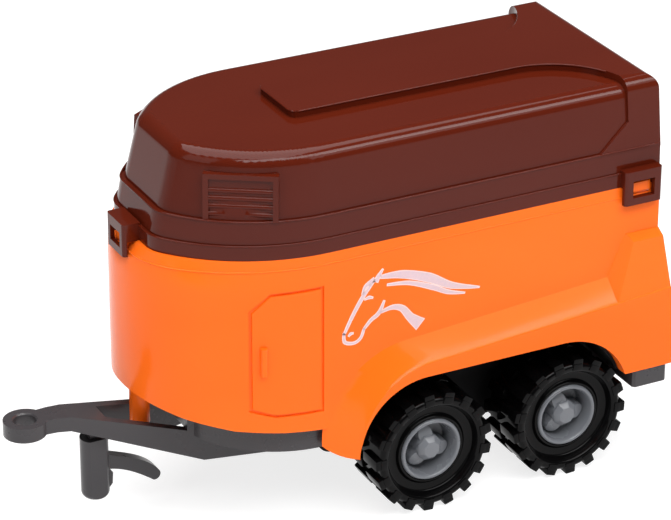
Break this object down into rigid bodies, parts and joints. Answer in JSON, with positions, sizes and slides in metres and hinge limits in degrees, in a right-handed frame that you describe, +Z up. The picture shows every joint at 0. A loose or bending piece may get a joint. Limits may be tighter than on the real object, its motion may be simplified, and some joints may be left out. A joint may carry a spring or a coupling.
{
  "type": "toy horse trailer",
  "caption": "Two-axle moulded toy horse trailer with a lift-off roof, drop-down rear ramp, swing-out support leg, free-rolling lugged wheels and a tow-eye drawbar.",
  "frame": {"origin": "on the floor under the middle of the trailer's overall box", "axes": "+X forward to the tow eye, +Y to the left side, +Z up"},
  "size_m": [0.3692, 0.16, 0.2285],
  "materials": {
    "shell_plastic": "gloss",
    "roof_plastic": "gloss",
    "chassis_plastic": "satin",
    "carrier_plastic": "satin",
    "tyre_plastic": "gloss",
    "rim_plastic": "satin",
    "pin_steel": "satin",
    "emblem_print": "satin"
  },
  "bodies": {
    "trailer": {"chassis": "chassis_plastic", "body_shell": "shell_plastic", "axle_carrier": "carrier_plastic", "wheel_liner_right": "carrier_plastic", "wheel_liner_left": "carrier_plastic", "front_axle": "pin_steel", "rear_axle": "pin_steel", "axle_push_nuts": "pin_steel", "ramp_hinge_pin": "pin_steel", "leg_pivot_pin": "pin_steel", "body_screws": "pin_steel"},
    "roof": {"roof_cover": "roof_plastic"},
    "ramp": {"rear_ramp": "shell_plastic"},
    "leg": {"support_leg": "chassis_plastic"},
    "wheel_front_left": {"tyre_front_left": "tyre_plastic", "rim_front_left": "rim_plastic", "hub_cap_front_left": "rim_plastic"},
    "wheel_front_right": {"tyre_front_right": "tyre_plastic", "rim_front_right": "rim_plastic", "hub_cap_front_right": "rim_plastic"},
    "wheel_rear_left": {"tyre_rear_left": "tyre_plastic", "rim_rear_left": "rim_plastic", "hub_cap_rear_left": "rim_plastic"},
    "wheel_rear_right": {"tyre_rear_right": "tyre_plastic", "rim_rear_right": "rim_plastic", "hub_cap_rear_right": "rim_plastic"}
  },
  "joints": [
    {"name": "roof_lift_off", "type": "slide", "parent": "trailer", "child": "roof", "axis": [0, 0, 1], "range_m": [0, 0.08]},
    {"name": "ramp_hinge", "type": "hinge", "parent": "trailer", "child": "ramp", "pos_m": [-0.1798, 0, 0.0612], "axis": [0, -1, 0], "range_deg": [0, 125]},
    {"name": "leg_pivot", "type": "hinge", "parent": "trailer", "child": "leg", "pos_m": [0.1334, 0, 0.0596], "axis": [0, -1, 0], "range_deg": [0, 45]},
    {"name": "wheel_spin_front_left", "type": "hinge", "parent": "trailer", "child": "wheel_front_left", "pos_m": [-0.0356, 0.059, 0.036], "axis": [0, 1, 0], "continuous": true},
    {"name": "wheel_spin_front_right", "type": "hinge", "parent": "trailer", "child": "wheel_front_right", "pos_m": [-0.0356, -0.059, 0.036], "axis": [0, 1, 0], "continuous": true},
    {"name": "wheel_spin_rear_left", "type": "hinge", "parent": "trailer", "child": "wheel_rear_left", "pos_m": [-0.1216, 0.059, 0.036], "axis": [0, 1, 0], "continuous": true},
    {"name": "wheel_spin_rear_right", "type": "hinge", "parent": "trailer", "child": "wheel_rear_right", "pos_m": [-0.1216, -0.059, 0.036], "axis": [0, 1, 0], "continuous": true}
  ]
}
